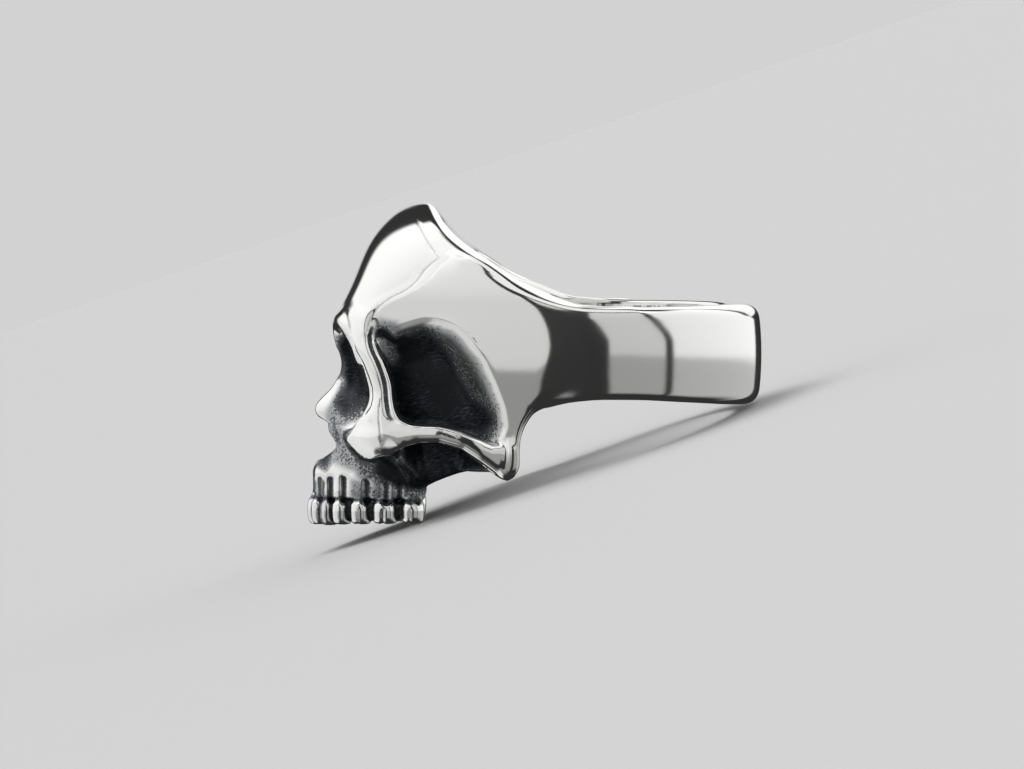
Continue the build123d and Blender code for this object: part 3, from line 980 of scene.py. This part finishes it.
floor_black = patch(BLACK_FLOOR, 1.1) * step(0.05, 0.5, below_temple)
floor_black = np.maximum(floor_black, patch(BLACK_CORNER, 0.4, (-6.0, -6.6)))
floor_black *= 1 - 0.62 * patch(WORN_PATCH, 0.5)
slope_haze = 0.30 * step(0.0, 0.12, on_side(bowl)) * step(-0.05, 0.05, below_temple)
# Under the arch, the black is oxide with painted shade.
under_arch_oxide_and_shade = patch(UNDER_ARCH, 0.7, (-8.6, -7.6))
pocket_black = np.maximum.reduce([floor_black, slope_haze, under_arch_oxide_and_shade])
told_black("black in the pocket and under the arch", pocket_black)

# %% [markdown]
# The face is neither black nor bright. Beside the nose, under the cheekbone and over the roots
# of the teeth it keeps a pitted grey haze, and the eye is black as far out as its rim.

# %% Haze on the face
EYE = [(-20.9, 3.2), (-19.6, 2.6), (-19.3, 0.6), (-18.5, -1.2), (-18.1, -3.0), (-19.0, -4.6),
       (-20.4, -5.2), (-21.3, -3.8), (-21.2, -1.0), (-21.0, 1.0)]
NOSE_SIDE = [(-21.9, -2.4), (-20.6, -3.2), (-20.5, -5.4), (-19.7, -7.2), (-18.9, -8.3),
             (-19.6, -8.9), (-21.2, -8.3), (-21.7, -6.6), (-21.7, -4.4)]
CHEEK_SIDE = [(-19.9, -7.6), (-18.6, -8.2), (-17.0, -8.0), (-15.5, -7.2), (-14, -11),
              (-15.5, -10.4), (-17.4, -9.9), (-19.0, -9.3)]
ROOTS = [(-19.8, -9.6), (-16, -10.2), (-13.8, -10.6), (-13.8, -11.3), (-19.8, -11.2)]
BROW_PITS = [(-17.6, 2.9), (-17.0, 3.1), (-16.2, 3.0), (-15.9, 2.5), (-16.3, 1.9), (-17.2, 2.3)]
IN_THE_EYE = (-8.3, -7.6)
face_black = np.maximum.reduce([
    patch(EYE, 0.9, IN_THE_EYE),
    0.52 * patch(NOSE_SIDE, 0.9),
    0.75 * patch(CHEEK_SIDE, 0.9),
    0.42 * patch(ROOTS, 0.7),
    0.50 * patch(BROW_PITS, 1.0),
    0.12 * step(-20.0, -22.0, px) * step(-2.0, -3.0, pz),
])
told_black("black on the face", face_black)

# %% Oxide and painted shade between the teeth
# Between the teeth and in the slots behind them, the black is oxide with painted shade.
TEETH_SIDE = [(-24, -9.4), (-12, -9.4), (-12, -14.5), (-24, -14.5)]
FRONT_ROOTS = [(0.0, -10.0), (1.32, -9.9), (2.6, -9.8)]
SLOT = 0.20
slot_shade = np.maximum.reduce([pencil(line, SLOT, (-1.0, -2.0)) for line in ROOT_LINES])
for y, top in FRONT_ROOTS:
    front_slot_shade = np.exp(-(((-py - y) / SLOT) ** 2)) * step(top + 0.2, top - 0.2, pz)
    slot_shade = np.maximum(slot_shade, front_slot_shade * step(-21.2, -21.8, px))
below_gum = step(GUM_LEVEL + 0.4, GUM_LEVEL, pz)
teeth_oxide_and_shade = np.maximum(between_teeth * patch(TEETH_SIDE, 0.3) * below_gum, 0.9 * slot_shade)
told_black("black between the teeth", teeth_oxide_and_shade)

# %% [markdown]
# What stands proud is polished whatever the hollows say: the brows and the bridge between them,
# the bar with its cheekbone and arch, and the tip of the nose. The fine dark lines come last, in
# seams, along the gum and round the cheekbone: oxide where no wheel reaches, with painted shade
# in the creases.

# %% Polish the proud places
black = np.maximum.reduce([hollow, 0.7 * groove, pocket_black, face_black, teeth_oxide_and_shade])
black *= 1 - 0.80 * step(0.30, 0.05, away_from(BROW, px, py, pz))
black *= 1 - 0.85 * step(-2.6, -1.4, py) * step(0.6, 2.6, pz)
# A lighter patch in the black of the eye is a painted highlight.
EYE_PAINTED_HIGHLIGHT = [(-20.5, -2.4), (-19.2, -2.0), (-18.7, -3.4), (-18.9, -4.6), (-20.0, -5.0)]
black *= 1 - 0.28 * patch(EYE_PAINTED_HIGHLIGHT, 0.9, IN_THE_EYE)
from_bar = on_side(outline_away)
on_bar = step(0.25, -0.25, from_bar) * step(1.4, 0.9, on_side(bar_out) + py)
black *= 1 - on_bar * (1 - 0.5 * groove * step(-6.6, -5.8, pz))
told_black("black beside the bar", black)

# %% Draw the fine dark lines: oxide and painted shade in the creases
# The dark edge round the cheekbone, where it meets the face, is oxide with painted shade.
shade_beside_cheek = step(0.9, 0.3, from_bar) * step(-0.10, 0.05, from_bar) * step(-3.0, -4.0, py)
shade_beside_cheek = shade_beside_cheek * step(-4.0, -5.0, pz) * step(-15.0, -16.0, px)
black = np.maximum(black, shade_beside_cheek)
NOSE_BRIGHT = [(-20.8, -1.3), (-21.4, -2.1), (-22.1, -2.8), (-23.2, -3.3), (-22.9, -4.6),
               (-21.6, -3.9), (-20.9, -3.1), (-20.3, -2.0)]
black *= 1 - 0.85 * patch(NOSE_BRIGHT, 0.4)
# The black in the nose opening is painted shade with oxide.
NOSTRIL_SHADE = [(-22.4, -7.2), (-21.4, -7.4), (-21.2, -8.2), (-21.8, -9.0), (-22.4, -8.7)]
SEAM, ON_THE_SIDE = 0.09, (-2.0, -3.0)
gum_line_shade = np.exp(-(((pz - GUM_LEVEL - 0.10) / 0.17) ** 2)) * step(-11.5, -12.5, px)
# The lines along the creases, the gum and the eye groove are oxide with painted shade.
black = np.maximum.reduce([
    black,
    0.36 * pencil(CHEEK_CREASE, SEAM, ON_THE_SIDE),
    0.24 * pencil(CORONAL_LINE, SEAM, ON_THE_SIDE),
    0.26 * pencil(TEMPORAL_LINE, SEAM, ON_THE_SIDE),
    0.66 * gum_line_shade,
    0.85 * patch(NOSTRIL_SHADE, 0.5),
    0.80 * pencil(EYE_GROOVE, 0.14, (-6.5, -7.0)),
])
told_black("black in all", black)

# %% [markdown]
# The mesh goes back from the finger's frame to the frame at rest, with its black as an attribute
# and its normals from the field. It rides on the root body and is shown in place of the solid.

# %% Finish the mesh
mesh = ring.data
mesh.vertices.foreach_set("co", (places @ TO_REST.T * MM).astype(np.float32).ravel())
mesh.attributes.new("black", "FLOAT", "POINT").data.foreach_set("value", black.astype(np.float32))
mesh.polygons.foreach_set("use_smooth", np.ones(len(mesh.polygons), bool))
mesh.update()
mesh.normals_split_custom_set_from_vertices((normals @ TO_REST.T).tolist())
mesh.materials.clear()
mesh.materials.append(silver)
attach(ring, "root")
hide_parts("skull_ring")
told(f"{ring.name} of {len(mesh.vertices)} points rides on the root")

# %% [markdown]
# ## Silver
# Polished silver is a mirror, a little uneven because a wheel is held by hand. Its black doesn't
# fade out evenly but stays in fine pits, so the attribute is mixed with a fine noise and cut off
# sharply. Deep black is a dull coat with brush strokes, whose lighter bluish colour is a painted
# sheen. The haze next to it is silver gone grey, and along the fine lines it is painted shade.
# Every pattern is laid on Object coordinates.


# %% Patterns of the silver
silver.use_nodes = True
paint = Tree(silver.node_tree)
bsdf = silver.node_tree.nodes["Principled BSDF"]
where = paint.node("ShaderNodeTexCoord").outputs["Object"]


def noise(scale, detail=2.0, stretched=None):
    """A cloudy pattern from 0 to 1 in the ring's own space."""
    spot = where
    if stretched:
        spot = paint.node("ShaderNodeMapping", Vector=where, Scale=stretched).outputs[0]
    made = paint.node("ShaderNodeTexNoise", Vector=spot, Scale=scale, Detail=detail,
                      Roughness=0.6)
    return Wire(paint, made.outputs[0])


def between(share, first, second):
    """A colour that goes from the first to the second."""
    made = paint.node("ShaderNodeMix", {"data_type": "RGBA"}, i0=share, i6=first, i7=second)
    return made.outputs[2]


def held(name):
    """A number that the mesh holds at each point."""
    made = paint.node("ShaderNodeAttribute", {"attribute_name": name})
    return Wire(paint, made.outputs["Fac"])


told("patterns ready")

# %% Mix the silver
BRIGHT_SILVER, WORN_AND_SHADED_SILVER = (0.90, 0.90, 0.885, 1), (0.42, 0.425, 0.43, 1)
BLACK, BRUSHED_BLACK_SHEEN = (0.014, 0.015, 0.019, 1), (0.13, 0.145, 0.18, 1)
THIN_BLACK = (0.105, 0.11, 0.12, 1)
# The black attribute holds oxide, painted shade in gaps and creases, and a painted highlight in the
# eye.
coat_and_shade = held("black")
pits, clouds = noise(5600.0, 1.0), noise(600.0)
blackened = (coat_and_shade + (pits - 0.5) * 1.1 + (clouds - 0.5) * 0.25).risen(0.40, 0.60)
# The lighter bluish brush strokes in the black are brush marks with a painted sheen.
strokes = noise(2200.0, 3.0, (1.0, 1.0, 5.0)).risen(0.42, 0.80)
brushed_sheen = strokes * noise(260.0).risen(0.35, 0.65)
thin_coat_and_shade, worn_and_shaded = coat_and_shade.risen(0.95, 0.62), coat_and_shade.risen(0.05, 0.36)
dark = between(thin_coat_and_shade, between(brushed_sheen, BLACK, BRUSHED_BLACK_SHEEN), THIN_BLACK)
bright = between(worn_and_shaded, BRIGHT_SILVER, WORN_AND_SHADED_SILVER)
paint.feed(bsdf.inputs["Base Color"], between(blackened, bright, dark))
paint.feed(bsdf.inputs["Metallic"], 1 - blackened * 0.3)
paint.feed(bsdf.inputs["Roughness"], 0.10 + worn_and_shaded * 0.20 + blackened * 0.10)
told("silver mixed")

# %% Uneven polish
POLISH_HEIGHT = 0.000012
polish = noise(700.0, 2.0) * 0.14 + noise(4200.0, 2.0) * 0.05
bump = paint.node("ShaderNodeBump", Strength=1.0, Distance=POLISH_HEIGHT,
                  Height=polish - blackened * 2.5)
paint.feed(bsdf.inputs["Normal"], bump.outputs[0])
told(f"silver of {len(silver.node_tree.nodes)} nodes")

# %% [markdown]
# ## Floor
# The floor is a sheet of pale paper. Reflections leave it out, because it would turn the ring's
# underside pale, which the photo doesn't show.

# %% Floor
floor_z = cad_box[0].z
FLOOR, PAPER = 12.0, 0.53
around_floor = [(-FLOOR, -FLOOR), (FLOOR, -FLOOR), (FLOOR, FLOOR), (-FLOOR, FLOOR)]
floor_mesh = bpy.data.meshes.new("floor")
floor_mesh.from_pydata([(x, y, floor_z) for x, y in around_floor], [], [(0, 1, 2, 3)])
floor = bpy.data.objects.new("floor", floor_mesh)
scene.collection.objects.link(floor)
floor.visible_glossy = False
floor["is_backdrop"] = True
paper = bpy.data.materials.new("paper")
paper.use_nodes = True
paper_bsdf = paper.node_tree.nodes["Principled BSDF"]
paper_bsdf.inputs["Base Color"].default_value = (PAPER, PAPER, PAPER, 1)
paper_bsdf.inputs["Roughness"].default_value = 0.9
floor_mesh.materials.append(paper)
told(f"floor at z = {floor_z / MM:.3f} mm")

# %% [markdown]
# ## Camera
# The photo looks square at the side of the ring from a little above. The camera takes the same
# place beside the ring as it lies, so it leans with the finger hole, and the photo's scale gives
# its lens.

# %% Camera
LOOK_DOWN, DISTANCE, SENSOR = math.radians(2.6), 0.42, 36
PHOTO_WIDTH, PHOTO_HEIGHT = 1024, 769
HOLE_X, HOLE_Y, PIXELS_PER_MM = 601, 355, 12.6
toward = Vector(TO_REST @ np.array([0, -math.cos(LOOK_DOWN), math.sin(LOOK_DOWN)]))
up = Vector(TO_REST @ np.array([0, math.sin(LOOK_DOWN), math.cos(LOOK_DOWN)]))
right = Vector(TO_REST @ np.array([1, 0, 0]))
off_centre = np.array([PHOTO_WIDTH / 2 - HOLE_X, 0, HOLE_Y - PHOTO_HEIGHT / 2]) / PIXELS_PER_MM
centre = Vector(TO_REST @ off_centre) * MM
camera = bpy.data.objects.new("camera", bpy.data.cameras.new("camera"))
scene.collection.objects.link(camera)
scene.camera = camera
camera.data.sensor_width = SENSOR
camera.data.lens = SENSOR * DISTANCE / (PHOTO_WIDTH / PIXELS_PER_MM * MM)
camera.data.clip_start = 0.01
turned = Matrix((right, up, toward)).transposed().to_4x4()
camera.matrix_world = Matrix.Translation(centre + toward * DISTANCE) @ turned
told(f"lens of {camera.data.lens:.0f} mm")

# %% [markdown]
# ## Light
# A mirror shows its surroundings, so the studio matters as much as the silver. The world's
# background is a sum of soft boxes, each a range of azimuths and elevations. Azimuth 0 is the
# camera's side, elevation 0 the level of the finger's frame, and the gaps between the boxes give
# the silver its dark strips. A soft sun casts the shadow, and the camera sees a plain backdrop.

# %% Directions of the studio
world = bpy.data.worlds.new("studio")
scene.world = world
world.use_nodes = True
sky = Tree(world.node_tree)
direction = sky.node("ShaderNodeTexCoord").outputs["Generated"]


def along(axis):
    """How far the direction points along an axis of the finger frame."""
    axis_at_rest = tuple(TO_REST @ np.array(axis))
    made = sky.node("ShaderNodeVectorMath", {"operation": "DOT_PRODUCT"}, i0=direction,
                    i1=axis_at_rest)
    return Wire(sky, made.outputs["Value"])


DEGREES, CUT = 180 / math.pi, -155
elevation = along((0, 0, 1)).math("ARCSINE") * DEGREES
azimuth = along((1, 0, 0)).math("ARCTAN2", along((0, -1, 0))) * DEGREES
azimuth = azimuth + azimuth.math("LESS_THAN", CUT) * 360
told(f"azimuths from {CUT} to {CUT + 360} degrees")

# %% Soft boxes
Box = namedtuple("Box", "left right low high light soft low_soft high_soft shift drop",
                 defaults=(0, 0))
BOXES = [
    Box(-142, -45, -5, 74, 0.98, 4, 1, 6),
    Box(-46, -19.5, -5, 58, 0.84, 0.8, 1, 2, drop=26),
    Box(5, 45, -3, 50, 0.72, 0.8, 1, 3, shift=14),
    Box(51, 146, -3, 62, 1.00, 1.4, 1, 6, shift=14),
    Box(-60, 60, 56, 96, 0.95, 6, 2, 2),
    Box(140, 178, 8, 80, 0.95, 4, 1, 6),
    Box(174, 196, -3, 26, 0.60, 4, 3, 6),
    Box(-142, -45, -60, -5, 0.85, 4, 10, 1),
    Box(-46, -19.5, -45, -5, 0.36, 2, 18, 1),
    Box(5, 45, -34, -3, 0.42, 2, 12, 1, shift=14),
    Box(51, 146, -34, -3, 0.50, 2, 12, 1, shift=14),
]
higher, towards_camera = elevation.risen(2, 16), azimuth.risen(-36, -22)


def lit(box):
    """The light of one box: shift leans its upper part over, drop slants its top edge."""
    across = azimuth + higher * box.shift if box.shift else azimuth
    upward = elevation + towards_camera * box.drop if box.drop else elevation
    return (across.risen(box.left - box.soft, box.left + box.soft)
            * across.risen(box.right + box.soft, box.right - box.soft)
            * elevation.risen(box.low - box.low_soft, box.low + box.low_soft)
            * upward.risen(box.high + box.high_soft, box.high - box.high_soft) * box.light)


light = sum((lit(box) for box in BOXES[1:]), lit(BOXES[0]))
told(f"{len(BOXES)} soft boxes")

# %% Background and sun
BACKDROP, AMBIENT, SUN, SUN_ANGLE = 0.645, 0.03, 1.6, 50
uneven = elevation.risen(-20, 70) * 0.22 + (azimuth * (1 / DEGREES)).math("COSINE") * -0.15 + 0.86
light = light * uneven + AMBIENT
seen = Wire(sky, sky.node("ShaderNodeLightPath").outputs["Is Camera Ray"])
back = world.node_tree.nodes["Background"]
back.inputs["Color"].default_value = (1, 1, 1, 1)
sky.feed(back.inputs["Strength"], light + (BACKDROP - light) * seen)
lamp = bpy.data.lights.new("overhead", "SUN")
lamp.angle = math.radians(SUN_ANGLE)
lamp.energy = SUN
overhead = bpy.data.objects.new("overhead", lamp)
scene.collection.objects.link(overhead)
overhead.rotation_euler = (math.radians(-18), math.radians(-14), 0)
overhead.visible_glossy = False
scene.view_settings.view_transform = "Standard"
told(f"studio of {len(world.node_tree.nodes)} nodes")

# %% [markdown]
# ## Sizes
# The boxes of the solid and of the visible ring are both printed, one at the start and one here,
# so the ring's size after carving can be read beside the solid's.

# %% Write the sizes and finish
visual_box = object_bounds()
told(f"visual box in mm: {[[round(c / MM, 2) for c in corner] for corner in visual_box]}")
